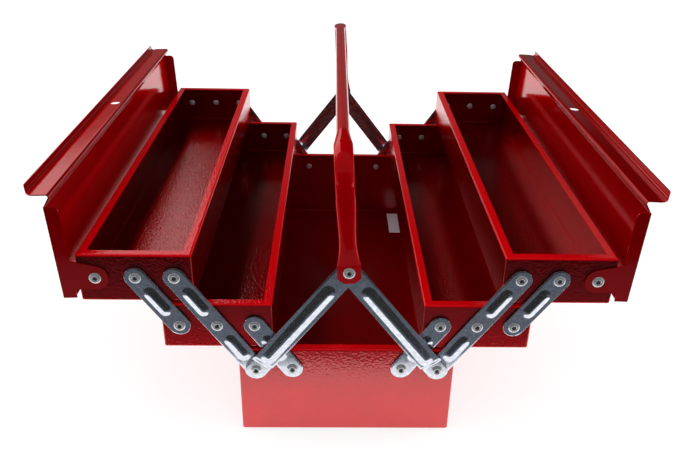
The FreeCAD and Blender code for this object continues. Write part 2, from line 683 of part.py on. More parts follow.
# ------------------------------------------------------------------------------------ the braces
def brace(label, standoff):
    """A handle brace: its foot lies on the lever, then it steps out and runs to the handle."""
    body = new_body(label)
    half = "size.brace_thickness / 2"
    near = f"-(place.brace_foot + {half})"
    far = f"-({standoff} + {half})"
    radius = "size.brace_width / 2"
    side_view = new_sketch(body, "YZ_Plane")
    bends = [
        (near, f"-{radius}"),
        (near, "size.joggle_start"),
        (far, "size.joggle_end"),
        (far, f"place.brace_span + {radius}"),
    ]
    bent_path(side_view, bends, ["size.brace_thickness", "size.brace_thickness"])
    section = new_sketch(body, "XY_Plane", f"-{radius}")
    rectangle(section, f"-{radius}", radius, f"{near} - {half}", f"{near} + {half}")
    strip = body.newObject("PartDesign::AdditivePipe", "strip")
    strip.Profile = section
    strip.Spine = side_view
    doc.recompute()

    trim = new_sketch(body, "XZ_Plane")
    slot(trim, "0", "place.brace_span", radius)
    beyond = f"({radius} + size.brace_thickness)"
    rectangle(trim, f"-{beyond}", beyond, f"-{beyond}", f"place.brace_span + {beyond}")
    cut(body, trim, both_ways=True)

    outside = f"{standoff} + size.brace_thickness"
    low = "size.rib_margin + size.bead_width / 2"
    high = "place.brace_span - size.bead_margin - size.bead_width / 2"
    bead(body, low, high, outside, standoff)
    bores = new_sketch(body, "XZ_Plane")
    circle(bores, "0", "0", "place.rivet_hole")
    circle(bores, "0", "place.brace_span", "place.rivet_hole")
    cut(body, bores, both_ways=True)
    return body


def braces(side, sign):
    for end in ("front", "rear"):
        front = end == "front"
        along = "-place.end_face" if front else "place.end_face"
        yaw = "0" if front else "180"
        inwards = "" if (sign == "-") == front else "-"
        # seen from outside, the left-hand brace of an end lies inside the other one
        inner = inwards == ""
        part = brace(f"{side}_{end}_brace", "place.inner_standoff" if inner else "place.outer_standoff")
        foot = f"{sign}place.base_outer"
        put(part, foot, along, "place.base_row", yaw, f"{inwards}place.brace_lean")


# ------------------------------------------------------------------------------------ the rivets
def rivet(body, across, up, seat, grip):
    """One rivet of the front end: dome behind the seat, set ring head in front of the grip."""
    profile = new_sketch(body, "YZ_Plane", across, "-place.end_face", up)
    shank = "size.rivet_diameter / 2"
    ring = "size.head_diameter / 2"
    dome = "size.dome_diameter / 2"
    polygon(profile, [
        (f"{seat} + size.dome_height", "0"),
        (f"{seat} + size.dome_height", f"{dome} / 2"),
        (seat, dome),
        (seat, shank),
        (f"-({grip})", shank),
        (f"-({grip})", ring),
        (f"-({grip} + size.head_height)", f"{ring} - size.head_height"),
        (f"-({grip} + size.head_height)", "0"),
    ])
    turned = body.newObject("PartDesign::Revolution", "rivet")
    turned.Profile = profile
    turned.ReferenceAxis = (profile, ["H_Axis"])
    turned.Angle = 360
    body.Tip = turned
    doc.recompute()
    return turned


def rivets(label, row, seat="size.sheet_thickness", grip="place.link_face + size.head_gap"):
    """A set of rivets through both end walls, one for each place in the row."""
    body = new_body(label)
    front = [rivet(body, across, up, seat, grip) for across, up in row]
    mirror(body, front, "XZ_Plane")
    return body


def all_rivets():
    base_row = "place.base_row"
    outer = [("-place.base_outer", base_row), ("place.base_outer", base_row)]
    rivets("outer_base_rivets", outer, grip="place.brace_foot + size.brace_thickness")
    rivets("inner_base_rivets", [("-place.base_inner", base_row), ("place.base_inner", base_row)])
    apex = [("0", "place.handle_row")]
    rivets("handle_rivets", apex, seat="-place.inner_standoff",
           grip="place.foot_face + size.foot_thickness + size.head_gap")
    for side, sign, yaw in SIDES:
        row = "size.pivot_height"
        middle = rivets(f"{side}_middle_rivets",
                        [("-size.pivot_spacing", row), ("0", row), ("size.pivot_spacing", row)])
        put(middle, f"{sign}place.middle_pivot", "0", "place.middle_row - size.pivot_height")
        top = rivets(f"{side}_top_rivets", [(INNER_PIVOT, row), (OUTER_PIVOT, row)])
        put(top, f"{sign}place.top_middle", "0", "place.top_row - size.pivot_height", yaw)
        hinge = rivets(f"{side}_lid_rivets", [(LID_PIVOT, f"({row} - size.lid_pivot_drop)")],
                       grip="size.lid_clearance + size.sheet_thickness + size.head_gap")
        put(hinge, f"{sign}place.top_middle", "0", "place.top_row - size.pivot_height", yaw)


# ------------------------------------------------------------------------------------ the handle
def carry_handle():
    """Bent tube, oval at its bends, flattened to a riveted foot at each end."""
    body = new_body("carry_handle")
    grip = new_sketch(body, "XZ_Plane")
    circle(grip, "0", "size.handle_rise", "size.tube_diameter / 2")
    pad(body, grip, "2 * (place.bend_end - size.runout)", centred=True)

    # front leg: sections from the shoulder over the foot up to the bend
    levels = [
        ("size.foot_above", "size.foot_width", "size.shoulder_depth"),
        ("size.neck_height", "size.neck_width", "size.neck_depth"),
        ("size.waist_height", "size.waist_width", "size.waist_depth"),
        ("size.handle_rise - size.handle_bend", "size.leg_width", "size.leg_depth"),
    ]
    sections = []
    for level, width, depth in levels:
        section = new_sketch(body, "XY_Plane", level)
        ellipse(section, "-place.leg_face", width, depth)
        sections.append(section)
    leg = body.newObject("PartDesign::AdditiveLoft", "leg")
    leg.Profile = sections[0]
    leg.Sections = sections[1:]
    doc.recompute()

    # the bend turns about a line across the box, then the tube runs out round into the grip
    bend = body.newObject("PartDesign::Revolution", "bend")
    bend.Profile = sections[-1]
    axis = new_sketch(body, "XY_Plane", "size.handle_rise - size.handle_bend", up="-place.bend_end")
    axis_line = axis.addGeometry(Part.LineSegment(Vector(0, 0, 0), Vector(value("size.leg_width"), 0, 0)))
    point_at(axis, axis_line, 1, "0", "0")
    point_at(axis, axis_line, 2, "size.leg_width", "0")
    bend.ReferenceAxis = (axis, ["Edge1"])
    bend.Angle = 90
    bend.Reversed = True
    doc.recompute()

    runout = body.newObject("PartDesign::AdditiveLoft", "runout")
    for offset, width, depth in (("place.bend_end", "size.leg_width", "size.leg_depth"),
                                 ("place.bend_end - size.runout", "size.tube_diameter", "size.tube_diameter")):
        section = new_sketch(body, "XZ_Plane", offset)
        ellipse(section, "size.handle_rise", width, f"{depth} * 0.9999")
        if runout.Profile is None:
            runout.Profile = section
        else:
            runout.Sections = [section]
    doc.recompute()
    mirror(body, [leg, bend, runout], "XZ_Plane")

    # the legs swing past the ends of the braces
    relief = new_sketch(body, "XZ_Plane")
    circle(relief, "0", "0", "place.relief_radius")
    cut(body, relief, "2 * (place.end_face + place.foot_face + size.relief_depth)", both_ways=True)

    foot = new_sketch(body, "XZ_Plane", "place.end_face + place.foot_face")
    half = "size.foot_width / 2"
    base = "size.foot_base / 2"
    polygon(foot, [
        (f"-{half}", "size.foot_above"),
        (f"-{half}", "-size.foot_shoulder"),
        (f"-{base}", "-size.foot_below"),
        (base, "-size.foot_below"),
        (half, "-size.foot_shoulder"),
        (half, "size.foot_above"),
    ])
    plate = pad(body, foot, "size.foot_thickness")
    mirror(body, [plate], "XZ_Plane")
    pivot = new_sketch(body, "XZ_Plane")
    circle(pivot, "0", "0", "place.rivet_hole")
    cut(body, pivot, both_ways=True)
    put(body, "0", "0", "place.handle_row", "0", "-size.handle_lean")


# ----------------------------------------------------------------------------------- the assembly
SIDES = (("left", "-", "0"), ("right", "", "180"))
bottom_tray()
for side, sign, yaw in SIDES:
    middle_tray(side, sign)
    top_tray(side, sign, yaw)
    lid(side, sign, yaw)
    levers(side, sign)
    braces(side, sign)
all_rivets()
carry_handle()
doc.recompute()

failed = [item.Name for item in doc.Objects if {"Invalid", "Error"} & set(item.State)]
if failed:
    raise RuntimeError(f"failed objects: {failed}")
parts = [item for item in doc.Objects if item.TypeId == "PartDesign::Body"]
for item in parts:
    if item.Shape.isNull() or not item.Shape.isValid() or not item.Shape.Solids:
        raise RuntimeError(f"{item.Label} has no valid solid")
os.makedirs("parts", exist_ok=True)
for item in parts:
    item.Shape.exportStep(f"parts/{item.Label}.step")
    print(item.Label, len(item.Shape.Solids), round(item.Shape.Volume, 1))
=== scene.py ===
import math

import bmesh
import bpy
from mathutils import Matrix, Vector


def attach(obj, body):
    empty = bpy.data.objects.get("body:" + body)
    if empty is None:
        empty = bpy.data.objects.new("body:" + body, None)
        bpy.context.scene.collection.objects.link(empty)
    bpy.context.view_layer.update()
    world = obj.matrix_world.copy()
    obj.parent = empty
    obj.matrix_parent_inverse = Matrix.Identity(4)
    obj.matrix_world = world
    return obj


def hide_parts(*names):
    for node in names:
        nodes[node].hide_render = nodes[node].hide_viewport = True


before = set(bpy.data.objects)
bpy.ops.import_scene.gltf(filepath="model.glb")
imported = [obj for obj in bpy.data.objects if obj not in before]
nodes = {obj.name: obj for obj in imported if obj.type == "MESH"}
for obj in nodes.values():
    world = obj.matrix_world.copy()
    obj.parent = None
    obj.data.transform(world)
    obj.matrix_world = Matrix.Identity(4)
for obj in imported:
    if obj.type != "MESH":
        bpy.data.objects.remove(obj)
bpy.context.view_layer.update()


# ---------------------------------------------------------------------------------------------
# Trays: folded steel sheet with a hammered enamel, a deep red full of metal flake under a clear
# gloss.  The enamel draws up into small cells as it dries, so every reflection in it breaks into
# short worms.  Sizes are in millimetres here and in each section up to the camera's.
MM = 0.001
CLOUD_RANGE = (0.3, 0.7)
ENAMEL_SHADES = ("D8000A", "E0000C")
FLAKE_TINT = "F0000A"
SHADE_SPACING = 30
FLAKE_SPACING = 12
FLAKE_SPREAD = 0.015
CELL_DETAIL = 0.6
CELL_TWIST = 0.4
# Painted highlight on the rims: the flake share there, and the depths below the rim top over which
# it fades in.
HEM_HIGHLIGHT_FLAKE = 0.15
HEM_HIGHLIGHT_DEPTHS = (2.2, 1.0)


def srgb(hex_code):
    """Linear colour of an sRGB hex code."""
    channels = [int(hex_code[i:i + 2], 16) / 255 for i in (0, 2, 4)]
    return [c / 12.92 if c <= 0.04045 else ((c + 0.055) / 1.055) ** 2.4 for c in channels] + [1.0]


def add_node(material, kind, fields=None, settings=None, links=None):
    """One node with its attributes, socket values and incoming links."""
    node = material.node_tree.nodes.new(kind)
    for name, setting in (fields or {}).items():
        setattr(node, name, setting)
    for name, setting in (settings or {}).items():
        node.inputs[name].default_value = setting
    for name, source in (links or {}).items():
        material.node_tree.links.new(source, node.inputs[name])
    return node


def join(material, source, socket):
    """Link one more source to a socket."""
    material.node_tree.links.new(source, socket)


def new_material(name, settings):
    """A material with these values on its shader, and a node that gives object coordinates."""
    material = bpy.data.materials.new(name)
    material.use_nodes = True
    shader = material.node_tree.nodes["Principled BSDF"]
    for socket, setting in settings.items():
        shader.inputs[socket].default_value = setting
    place = add_node(material, "ShaderNodeTexCoord").outputs["Object"]
    return material, shader, place


def mottle(material, place, spacing, low, high, detail=2.0):
    """A soft cloud pattern in real millimetres, spread between two values."""
    cloud = add_node(material, "ShaderNodeTexNoise", None,
                     {"Scale": 1 / (spacing * MM), "Detail": detail}, {"Vector": place})
    spread = add_node(material, "ShaderNodeMapRange", None,
                      {"From Min": CLOUD_RANGE[0], "From Max": CLOUD_RANGE[1], "To Min": low,
                       "To Max": high},
                      {"Value": cloud.outputs[0]})
    return spread.outputs["Result"]


def cloud_colour(material, shader, place, spacing, shades, detail=2.0):
    """Base colour that drifts between two shades."""
    shade = add_node(material, "ShaderNodeMix", {"data_type": "RGBA"},
                     {"A": srgb(shades[0]), "B": srgb(shades[1])},
                     {"Factor": mottle(material, place, spacing, 0, 1, detail)})
    join(material, shade.outputs["Result"], shader.inputs["Base Color"])


def cloud_roughness(material, shader, place, spacing, low, high):
    """Roughness that drifts between two values."""
    join(material, mottle(material, place, spacing, low, high), shader.inputs["Roughness"])


def relief(material, place, spacing, depth, detail, twist=0.0):
    """Normal of a surface with bumps of this spacing and depth in millimetres."""
    cells = add_node(material, "ShaderNodeTexNoise", None,
                     {"Scale": 1 / (spacing * MM), "Detail": detail, "Distortion": twist},
                     {"Vector": place})
    bump = add_node(material, "ShaderNodeBump", None,
                    {"Strength": 1.0, "Distance": depth * MM}, {"Height": cells.outputs[0]})
    return bump.outputs["Normal"]


def paint(item, material):
    """Give a whole piece one material, in place of any it had."""
    item.data.materials.clear()
    item.data.materials.append(material)


def red_enamel(name, metal, cell, depth, flake_roughness, gloss, gloss_roughness, hem=None):
    """Flake enamel whose cells have the given size and depth in millimetres.

    The hem is the height of a tray's folded rim. A band just below it gets far less flake, so it
    renders a brighter red: a painted highlight for the light that the rims catch.
    """
    material, shader, place = new_material(name, {
        "Metallic": metal, "Specular IOR Level": 0.0, "Specular Tint": srgb(FLAKE_TINT),
        "Coat Weight": 1.0, "Coat IOR": gloss, "Coat Roughness": gloss_roughness})
    cloud_colour(material, shader, place, SHADE_SPACING, ENAMEL_SHADES)
    cloud_roughness(material, shader, place, FLAKE_SPACING, flake_roughness - FLAKE_SPREAD,
                    flake_roughness + FLAKE_SPREAD)
    normal = relief(material, place, cell, depth, CELL_DETAIL, CELL_TWIST)
    join(material, normal, shader.inputs["Normal"])
    join(material, normal, shader.inputs["Coat Normal"])
    if hem:
        # Painted highlight: the top of each tray's rim turns less metallic, so it shows the bright
        # diffuse red that light on the rims would give.
        split = add_node(material, "ShaderNodeSeparateXYZ", None, None, {"Vector": place})
        low, high = ((hem - depth_below) * MM for depth_below in HEM_HIGHLIGHT_DEPTHS)
        hem_highlight = add_node(material, "ShaderNodeMapRange", {"interpolation_type": "SMOOTHSTEP"},
                         {"From Min": low, "From Max": high, "To Min": metal,
                          "To Max": HEM_HIGHLIGHT_FLAKE}, {"Value": split.outputs["Z"]})
        join(material, hem_highlight.outputs["Result"], shader.inputs["Metallic"])
    return material


# The share of flake and the coat's IOR are matched to each tray's own look, so the three trays get
# lit and shaded copies of the one enamel: painted light and shade.
for tray, hem, metal, gloss in (
    ("bottom", 95.5, 0.92, 1.84), ("middle", 144.5, 1.0, 1.62), ("top", 194.0, 1.0, 1.55),
):
    hammered = red_enamel(f"hammered_red_enamel_{tray}", metal, cell=2.1, depth=0.22,
                          flake_roughness=0.41, gloss=gloss, gloss_roughness=0.08, hem=hem)
    for name, item in nodes.items():
        if name.endswith(f"{tray}_tray"):
            paint(item, hammered)


# ---------------------------------------------------------------------------------------------
# Lids: the same steel and enamel on a flatter sheet.  The cells are shallow, so the panel
# reflects almost like a mirror.
smooth_red = red_enamel("smooth_red_enamel", metal=0.8, cell=1.6, depth=0.05,
                        flake_roughness=0.4, gloss=1.6, gloss_roughness=0.07)
for name, item in nodes.items():
    if name.endswith("lid"):
        paint(item, smooth_red)


# ---------------------------------------------------------------------------------------------
# Carrying handle: bent steel tube, flattened at the legs and feet, in the same red with a wet
# gloss and no hammering.
handle_red = red_enamel("glossy_red_enamel", metal=0.55, cell=6.0, depth=0.02,
                        flake_roughness=0.35, gloss=1.55, gloss_roughness=0.04)
paint(nodes["carry_handle"], handle_red)


# ---------------------------------------------------------------------------------------------
# Levers and braces: zinc plated steel strip with round ends, pressed up into hollow ribs between
# the rivets.  The two braces at an end meet at the handle's rivet, and are joggled so that one
# lies over the other.
STRIP = 1.5
LEVER_HALF_WIDTH = 9.75
BRACE_HALF_WIDTH = 10.2
COLUMN_SPACING = 1.1
ROUND_COLUMNS = 12
FLAT_ROW = 7.8
ROUNDED_EDGE = 0.35
EDGE_DROP = ((9.4, 0.0), (9.6, 0.06), (9.75, 0.3))
JOGGLE_START = 9
JOGGLE_LENGTH = 4
SHARP = 40
RIB = ((0, 2.2), (0.5, 2.16), (1.0, 2.04), (1.6, 1.83), (3.4, 1.05), (5.0, 0.34), (5.6, 0.1),
       (6.2, 0))
BEAD = ((0, 2.6), (0.5, 2.57), (1.0, 2.46), (1.7, 2.2), (3.8, 1.26), (5.6, 0.44), (6.3, 0.14),
        (6.9, 0))
FLAT_FOOT = 14
RIB_INSET = 5.7
BEAD_INSET = 6.7
BEAD_END = 22.5
LEVER_BACK = 240.3
BRACE_BACK = 242.1
INNER_STEP = 2.1
OUTER_STEP = 3.7
LEVER_PIVOTS = {
    "long": ((83.9, 74.6), (116.9, 122.8), (150.8, 172.3)),
    "lower": ((50.5, 74.6), (83.5, 122.8)),
    "upper": ((150.3, 122.8), (184.2, 172.3)),
}
BRACE_FOOT = (83.9, 74.6)
HANDLE_PIVOT = 183.5

# Bright zinc plate, glossy and a little blue, with a faint ripple in the sheet.
zinc, shader, place = new_material("bright_zinc_plate", {"Metallic": 0.96})
cloud_colour(zinc, shader, place, 3, ("D2DAE8", "F6F9FF"), detail=4)
cloud_roughness(zinc, shader, place, 5, 0.14, 0.19)
join(zinc, relief(zinc, place, spacing=9, depth=0.06, detail=1.0), shader.inputs["Normal"])


def read_curve(curve, at):
    """Height of a curve of (place, height) points."""
    for (low, start), (high, end) in zip(curve, curve[1:]):
        if at <= high:
            return start + (end - start) * max(at - low, 0) / (high - low)
    return curve[-1][1]


def strip_rows(half_width, curve):
    """Places across a strip where its section bends."""
    rows = {place for place, height in curve}
    rows |= {half_width - LEVER_HALF_WIDTH + place for place, drop in EDGE_DROP}
    rows = sorted(rows | {FLAT_ROW})
    return [-row for row in reversed(rows[1:])] + rows


def strip_plan(column, columns, length, half_width):
    """Place of a column along a strip, and the share of its width that is left there."""
    straight = columns - 2 * ROUND_COLUMNS
    if column < ROUND_COLUMNS:
        turn = math.pi / 2 * column / ROUND_COLUMNS
        return -half_width * math.cos(turn), math.sin(turn)
    if column > columns - ROUND_COLUMNS:
        turn = math.pi / 2 * (columns - column) / ROUND_COLUMNS
        return length + half_width * math.cos(turn), math.sin(turn)
    return length * (column - ROUND_COLUMNS) / straight, 1.0


def pressed_strip(length, half_width, curve, ribs, step):
    """A round-ended strip along X, pressed up in Z, with its lower pivot at the origin.

    The ribs are the ends of the middle lines of the raised places, and the step is the rise of
    the strip beyond its foot.
    """
    rows = strip_rows(half_width, curve)
    columns = round(length / COLUMN_SPACING) + 2 * ROUND_COLUMNS
    work = bmesh.new()
    bmesh.ops.create_grid(work, x_segments=columns, y_segments=len(rows) - 1, size=0.5)
    for vertex in work.verts:
        column = round((vertex.co.x + 0.5) * columns)
        row = rows[round((vertex.co.y + 0.5) * (len(rows) - 1))]
        along, share = strip_plan(column, columns, length, half_width)
        across = row * share
        past_pivot = math.hypot(max(-along, along - length, 0), across)
        inset = min(half_width - past_pivot, ROUNDED_EDGE)
        rise = STRIP + step * min(max((along - JOGGLE_START) / JOGGLE_LENGTH, 0), 1)
        rise -= read_curve(EDGE_DROP, LEVER_HALF_WIDTH - inset)
        for low, high in ribs:
            reach = math.hypot(max(low - along, along - high, 0), across)
            rise += read_curve(curve, reach)
        vertex.co = Vector((along, across, rise)) * MM
    bmesh.ops.remove_doubles(work, verts=work.verts, dist=0.01 * MM)
    bmesh.ops.recalc_face_normals(work, faces=work.faces)
    if sum(face.normal.z for face in work.faces) < 0:
        bmesh.ops.reverse_faces(work, faces=work.faces)
    bmesh.ops.solidify(work, geom=work.faces, thickness=STRIP * MM)
    bmesh.ops.recalc_face_normals(work, faces=work.faces)
    return work


def new_object(name, work):
    """An object at the origin with the shape of this bmesh."""
    mesh = bpy.data.meshes.new(name)
    work.to_mesh(mesh)
    work.free()
    item = bpy.data.objects.new(name, mesh)
    bpy.context.collection.objects.link(item)
    return item


def place_strip(work, node, body, low, high, back):
    """Stand a strip between two pivots, in place of its CAD node."""
    along = (high - low).normalized()
    out = Vector((0, math.copysign(1, back), 0))
    turn = Matrix((along, out.cross(along), out)).transposed().to_4x4()
    shift = Matrix.Translation((low.x * MM, back * MM, low.z * MM))
    bmesh.ops.transform(work, matrix=shift @ turn, verts=work.verts)
    strip = new_object(f"{node}_strip", work)
    strip.data.shade_smooth()
    strip.data.set_sharp_from_angle(angle=math.radians(SHARP))
    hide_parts(node)
    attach(strip, body)
    paint(strip, zinc)


for side, sign in (("left", -1), ("right", 1)):
    for end, outwards in (("front", -1), ("rear", 1)):
        for kind, pivots in LEVER_PIVOTS.items():
            points = [Vector((sign * x, 0, z)) for x, z in pivots]
            rivets = [(point - points[0]).length for point in points]
            ribs = [(low + FLAT_FOOT + RIB_INSET, high - FLAT_FOOT - RIB_INSET)
                    for low, high in zip(rivets, rivets[1:])]
            work = pressed_strip(rivets[-1], LEVER_HALF_WIDTH, RIB, ribs, 0)
            place_strip(work, f"{side}_{end}_{kind}_link", f"{side}_{kind}_links",
                        points[0], points[-1], outwards * LEVER_BACK)
        foot = Vector((sign * BRACE_FOOT[0], 0, BRACE_FOOT[1]))
        crossing = Vector((0, 0, HANDLE_PIVOT))
        span = (crossing - foot).length
        inner = (side == "left") == (end == "front")
        bead = (FLAT_FOOT + BEAD_INSET, span - BEAD_END - BEAD_INSET)
        work = pressed_strip(span, BRACE_HALF_WIDTH, BEAD, [bead],
                             INNER_STEP if inner else OUTER_STEP)
        place_strip(work, f"{side}_{end}_brace", "base", foot, crossing, outwards * BRACE_BACK)


# ---------------------------------------------------------------------------------------------
# Rivets: zinc plated steel.  The outer end is set into a rounded ring with a three-lobed mark
# of the setting tool in the middle, and the inner end is a plain round head.
RIM_DEPTH = 1.7
DOME_DEPTH = 1.5
RING = ((0, 0.75), (0.35, 0.75), (0.7, 0.76), (1.05, 0.78), (1.4, 0.8), (1.8, 0.82), (2.1, 0.85),
        (2.3, 1.2), (2.5, 1.5), (2.8, 1.65), (3.2, 1.7), (3.8, 1.55), (4.4, 1.25), (4.9, 0.9),
        (5.2, 0.55), (5.3, 0))
DOME = ((0, 2.5), (1.0, 2.42), (2.0, 2.15), (3.0, 1.65), (3.8, 0.95), (4.25, 0.35), (4.3, 0))
RING_STEPS = 36
DOME_STEPS = 28
LOBES = 3
LOBE_OUT = 0.95
LOBE_WIDTH = 0.62
LOBE_DEPTH = 0.75
MARK_RADIUS = 2.1
HEAD_TURN = 47

# Zinc plate again, but very light, and a little softer in gloss than on the levers.
rivet_zinc, shader, place = new_material("zinc_plated_rivet", {"Metallic": 0.72})
cloud_colour(rivet_zinc, shader, place, 1.2, ("E2E5EA", "F4F6F8"))
cloud_roughness(rivet_zinc, shader, place, 0.8, 0.16, 0.22)

# The pressed mark is a darker, duller grey than the ring round it: painted shade in the pits of
# the tool mark.
painted_mark_shade, shader, place = new_material("tool_mark_painted_shade", {"Metallic": 0.9})
cloud_colour(painted_mark_shade, shader, place, 0.9, ("5A5E64", "9A9EA4"))
cloud_roughness(painted_mark_shade, shader, place, 0.8, 0.25, 0.4)


def turned_head(work, profile, steps):
    """Spin a profile of (radius, height) round the Y axis, outwards towards -Y."""
    points = [work.verts.new((radius * MM, -height * MM, 0)) for radius, height in profile]
    edges = [work.edges.new(pair) for pair in zip(points, points[1:])]
    bmesh.ops.spin(work, geom=points + edges, axis=(0, 1, 0), cent=(0, 0, 0),
                   angle=2 * math.pi, steps=steps, use_merge=True)
    bmesh.ops.remove_doubles(work, verts=work.verts, dist=0.005 * MM)


def tool_mark(work):
    """Press the three lobes of the setting tool into the middle of a head."""
    for vertex in work.verts:
        for lobe in range(LOBES):
            turn = math.radians(90 + 360 / LOBES * lobe)
            centre = Vector((math.cos(turn), 0, math.sin(turn))) * LOBE_OUT * MM
            across = Vector((vertex.co.x, 0, vertex.co.z)) - centre
            share = math.exp(-(across.length / (LOBE_WIDTH * MM)) ** 2)
            vertex.co.y += LOBE_DEPTH * MM * share


def head_mesh(name, profile, steps, marked):
    """Mesh of one head, with its second material, a painted shade, inside the tool mark."""
    work = bmesh.new()
    turned_head(work, profile, steps)
    if marked:
        tool_mark(work)
    bmesh.ops.recalc_face_normals(work, faces=work.faces)
    # Faces inside the tool mark take the second material, the painted shade of its pits.
    if marked:
        for face in work.faces:
            middle = face.calc_center_median()
            face.material_index = int(math.hypot(middle.x, middle.z) < MARK_RADIUS * MM)
    mesh = bpy.data.meshes.new(name)
    work.to_mesh(mesh)
    work.free()
    return mesh


def solids_of(item):
    """Box (low, high) of each separate solid of a CAD node."""
    work = bmesh.new()
    work.from_mesh(item.data)
    bmesh.ops.remove_doubles(work, verts=work.verts, dist=0.001 * MM)
    waiting = set(work.verts)
    boxes = []
    while waiting:
        found = [waiting.pop()]
        for vertex in found:
            for edge in vertex.link_edges:
                other = edge.other_vert(vertex)
                if other in waiting:
                    waiting.remove(other)
                    found.append(other)
        places = [vertex.co for vertex in found]
        boxes.append([[pick(p[axis] for p in places) for axis in range(3)] for pick in (min, max)])
    work.free()
    return sorted(boxes)


def add_head(work, mesh, middle, along, turned):
    """Copy a head to its place on a rivet's axis, where each is turned by its own angle."""
    turn = Matrix.Rotation(math.pi if turned else 0, 4, "Z")
    spin = Matrix.Rotation(math.radians(HEAD_TURN) * len(work.verts), 4, "Y")
    shift = Matrix.Translation((middle.x, along, middle.z))
    start = len(work.verts)
    work.from_mesh(mesh)
    work.verts.ensure_lookup_table()
    bmesh.ops.transform(work, matrix=shift @ turn @ spin, verts=work.verts[start:])


def rivet_set(name, body):
    """Detailed heads in place of one CAD set of rivets."""
    work = bmesh.new()
    for low, high in solids_of(nodes[name]):
        front = low[1] + high[1] < 0
        middle = Vector(((low[0] + high[0]) / 2, 0, (low[2] + high[2]) / 2))
        outer_end, inner_end = (low[1], high[1]) if front else (high[1], low[1])
        inwards = MM if front else -MM
        add_head(work, ring_head, middle, outer_end + inwards * RIM_DEPTH, not front)
        add_head(work, dome_head, middle, inner_end - inwards * DOME_DEPTH, front)
    heads = new_object(f"{name}_heads", work)
    heads.data.shade_smooth()
    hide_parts(name)
    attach(heads, body)
    heads.data.materials.append(rivet_zinc)
    heads.data.materials.append(painted_mark_shade)


ring_head = head_mesh("ring_head", RING, RING_STEPS, True)
dome_head = head_mesh("dome_head", DOME, DOME_STEPS, False)
for base_set in ("outer_base_rivets", "inner_base_rivets", "handle_rivets"):
    rivet_set(base_set, "base")
for side in ("left", "right"):
    rivet_set(f"{side}_middle_rivets", f"{side}_middle")
    rivet_set(f"{side}_top_rivets", f"{side}_top")
    rivet_set(f"{side}_lid_rivets", f"{side}_top")


# ---------------------------------------------------------------------------------------------
# Label: a white paper sticker on the floor of the bottom tray, printed with nothing.  It is
# stuck flat, so only its thickness stands above the steel.
LABEL_SIZE = (16, 62)
LABEL_THICKNESS = 0.12
LABEL_PLACE = (77.4, 197.5, 1.15)
work = bmesh.new()
bmesh.ops.create_grid(work, x_segments=2, y_segments=8, size=0.5)
bmesh.ops.scale(work, vec=(LABEL_SIZE[0] * MM, LABEL_SIZE[1] * MM, 1), verts=work.verts)
bmesh.ops.solidify(work, geom=work.faces, thickness=LABEL_THICKNESS * MM)
bmesh.ops.translate(work, vec=[at * MM for at in LABEL_PLACE], verts=work.verts)
bmesh.ops.recalc_face_normals(work, faces=work.faces)
label = new_object("blank_label", work)
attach(label, "base")

# Uncoated paper: matt, with a soft cloud of the fibres.
paper, shader, place = new_material("matt_sticker_paper", {"Roughness": 0.6})
cloud_colour(paper, shader, place, 2, ("FAE8F2", "FFF4FA"))
paint(label, paper)


# ---------------------------------------------------------------------------------------------
# Camera, floor and lights: a white paper sweep and an even white room, with boards round the
# object that only its reflections see.  Sizes are in metres.
SENSOR = 36.0
LENS = 37.47
YAW, PITCH, ROLL = (math.radians(angle) for angle in (1.6197, 27.788, 1.3043))
CAMERA_PLACE = (-0.0152, -0.7799, 0.5061)
WHITE = (1, 1, 1, 1)
BLACK = (0, 0, 0, 1)
SWEEP_GREY = "B8B8B8"
SWEEP_LIFT = 0.7
SWEEP_SIZE = 15
ROOM = 3
CEILING = 2.5
ABOVE_FLOOR = 0.002
STRIP_NEAR = -0.56
STRIP_FAR = -0.341
SIDE_FOOT = 0.3
LEFT_FAR = 1.2
TOP_SPLIT = 0.3
SCRIM_FOOT = 0.01
SCRIM_TOP = 1.2
BAND_TOP = 1.45
BAND_SPLIT = 0.55
OPEN_EDGE = -0.7
LAMP_SIZE = (1.6, 1.0)
LAMP_POWER = 15
LAMP_OUT = 1.8
LAMP_HEIGHT = 0.9
LAMP_TILT = 68
ROOM_LIGHT = 0.72

view = bpy.data.cameras.new("camera")
view.sensor_width = SENSOR
view.lens = LENS
camera = bpy.data.objects.new("camera", view)
bpy.context.collection.objects.link(camera)
forward = Vector((math.sin(YAW) * math.cos(PITCH), math.cos(YAW) * math.cos(PITCH),
                  -math.sin(PITCH)))
level = Vector((math.cos(YAW), -math.sin(YAW), 0))
above = level.cross(forward)
right = math.cos(ROLL) * level + math.sin(ROLL) * above
up = math.cos(ROLL) * above - math.sin(ROLL) * level
turn = Matrix((right, up, -forward)).transposed().to_4x4()
camera.matrix_world = Matrix.Translation(CAMERA_PLACE) @ turn
bpy.context.scene.camera = camera


def board(name, material, low, high):
    """A flat staged sheet that fills a box with one zero side."""
    flat = [axis for axis in range(3) if low[axis] == high[axis]][0]
    work = bmesh.new()
    bmesh.ops.create_grid(work, x_segments=1, y_segments=1, size=0.5)
    if flat < 2:
        turn = Matrix.Rotation(math.pi / 2, 3, "YX"[flat])
        bmesh.ops.rotate(work, matrix=turn, verts=work.verts)
    bmesh.ops.scale(work, vec=[abs(b - a) or 1 for a, b in zip(low, high)], verts=work.verts)
    bmesh.ops.translate(work, vec=[(a + b) / 2 for a, b in zip(low, high)], verts=work.verts)
    sheet = new_object(name, work)
    sheet.data.materials.append(material)
    return sheet


def seen_by(material, *kinds):
    """One for rays of these kinds and nought for others."""
    rays = add_node(material, "ShaderNodeLightPath")
    total = rays.outputs[kinds[0]]
    for kind in kinds[1:]:
        more = add_node(material, "ShaderNodeMath", {"operation": "MAXIMUM"})
        join(material, total, more.inputs[0])
        join(material, rays.outputs[kind], more.inputs[1])
        total = more.outputs[0]
    return total


